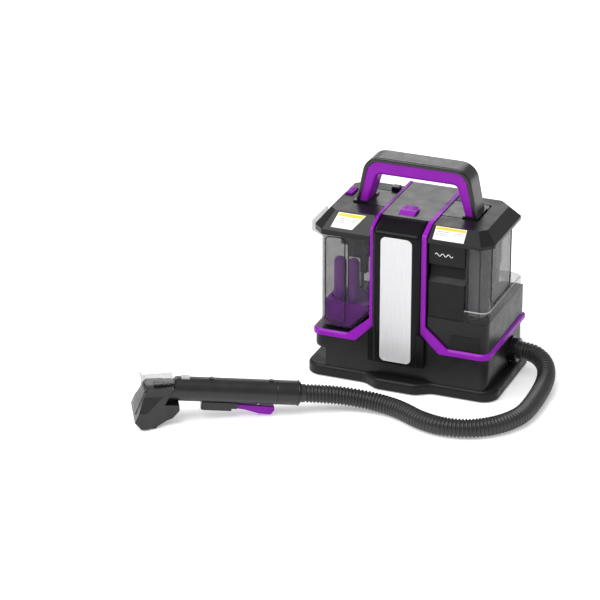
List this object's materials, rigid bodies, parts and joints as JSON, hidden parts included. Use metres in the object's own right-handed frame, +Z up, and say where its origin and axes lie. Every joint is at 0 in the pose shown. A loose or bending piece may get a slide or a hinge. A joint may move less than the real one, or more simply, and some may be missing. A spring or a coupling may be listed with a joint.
{
  "type": "portable carpet spot cleaner",
  "caption": "Upright portable carpet cleaner with clear water tanks at its sides, a carrying handle, and a suction hose that leads to a hand wand with trigger and nozzle.",
  "frame": {"origin": "middle of the machine's footprint, on the floor", "axes": "+Z up, the column's badge faces -Y, the hose leaves the +X side"},
  "size_m": [0.5516, 0.4456, 0.3305],
  "materials": {
    "dark_plastic": "fine satin texture",
    "black_plastic": "satin",
    "grey_plastic": "satin",
    "purple_plastic": "satin",
    "badge_metal": "brushed",
    "clear_plastic": "clear, smoky",
    "seal_rubber": "matte",
    "screw_steel": "bright",
    "spring_steel": "bright",
    "motor_steel": "brushed",
    "board_green": "satin",
    "hose_plastic": "ribbed, flexible"
  },
  "bodies": {
    "housing": {"badge_plate": "badge_metal", "base_plate": "dark_plastic", "base_screws": "screw_steel", "column_front_cover": "dark_plastic", "control_board": "board_green", "feed_line": "seal_rubber", "handle_collars": "black_plastic", "handle_grip": "purple_plastic", "handle_screws": "screw_steel", "handle_shell": "black_plastic", "hose_port": "black_plastic", "hose_tube": "hose_plastic", "lower_housing": "dark_plastic", "motor": "motor_steel", "motor_housing": "black_plastic", "motor_mount": "black_plastic", "power_inlet": "black_plastic", "power_spring": "spring_steel", "pump": "motor_steel", "rubber_feet": "seal_rubber", "suction_duct": "black_plastic", "top_cover": "dark_plastic", "tower_shell": "dark_plastic", "trigger_pin": "screw_steel", "trigger_spring": "spring_steel", "trim_left": "purple_plastic", "trim_right": "purple_plastic", "valve_block": "black_plastic", "wand_collar": "black_plastic", "wand_screws": "screw_steel", "wand_sleeve": "black_plastic", "wand_tube": "black_plastic"},
    "left_tank_unit": {"left_tank": "clear_plastic", "left_tank_lid": "dark_plastic", "left_gasket": "seal_rubber", "left_separator": "black_plastic", "left_standpipe": "purple_plastic", "float_pole": "grey_plastic", "lid_hook": "black_plastic"},
    "right_tank_unit": {"right_tank": "clear_plastic", "right_tank_lid": "dark_plastic", "right_gasket": "seal_rubber", "right_filler": "black_plastic", "right_valve": "grey_plastic", "right_tank_grip": "dark_plastic", "right_tank_holder": "dark_plastic", "holder_panel": "dark_plastic"},
    "nozzle": {"nozzle_body": "black_plastic", "nozzle_cover": "clear_plastic", "nozzle_neck": "black_plastic", "nozzle_lip": "seal_rubber"},
    "power_button": {"power_button": "purple_plastic"},
    "left_latch": {"left_latch": "purple_plastic"},
    "trigger": {"trigger": "purple_plastic"},
    "nozzle_release": {"nozzle_release": "grey_plastic"},
    "motor_fan": {"motor_fan": "black_plastic"},
    "tank_float": {"tank_float": "black_plastic"}
  },
  "joints": [
    {"name": "left_tank_slide", "type": "slide", "parent": "housing", "child": "left_tank_unit", "axis": [-1, 0, 0], "range_m": [0, 0.11]},
    {"name": "right_tank_slide", "type": "slide", "parent": "housing", "child": "right_tank_unit", "axis": [1, 0, 0], "range_m": [0, 0.11]},
    {"name": "float_rise", "type": "slide", "parent": "left_tank_unit", "child": "tank_float", "axis": [0, 0, 1], "range_m": [0, 0.1]},
    {"name": "left_latch_press", "type": "slide", "parent": "left_tank_unit", "child": "left_latch", "axis": [0, 0, -1], "range_m": [0, 0.0025], "stiffness_N_per_m": 400, "springref_m": -0.002},
    {"name": "power_button_press", "type": "slide", "parent": "housing", "child": "power_button", "axis": [0, 0, -1], "range_m": [0, 0.003], "stiffness_N_per_m": 400, "springref_m": -0.002, "deforming": ["power_spring"]},
    {"name": "trigger_pull", "type": "hinge", "parent": "housing", "child": "trigger", "pos_m": [-0.18811, -0.24984, 0.01799], "axis": [0.4939, -0.8695, 0], "range_deg": [0, 3], "stiffness_Nm_per_rad": 2, "springref_deg": -2.86, "deforming": ["trigger_spring"]},
    {"name": "nozzle_pull", "type": "slide", "parent": "housing", "child": "nozzle", "axis": [-0.8646, -0.4911, 0.1063], "range_m": [0, 0.06]},
    {"name": "nozzle_release_press", "type": "slide", "parent": "housing", "child": "nozzle_release", "axis": [-0.0924, -0.0525, -0.9943], "range_m": [0, 0.0012], "stiffness_N_per_m": 400, "springref_m": -0.002},
    {"name": "fan_spin", "type": "hinge", "parent": "housing", "child": "motor_fan", "pos_m": [-0.003, 0.01, 0.09], "axis": [0, 0, 1], "continuous": true}
  ]
}
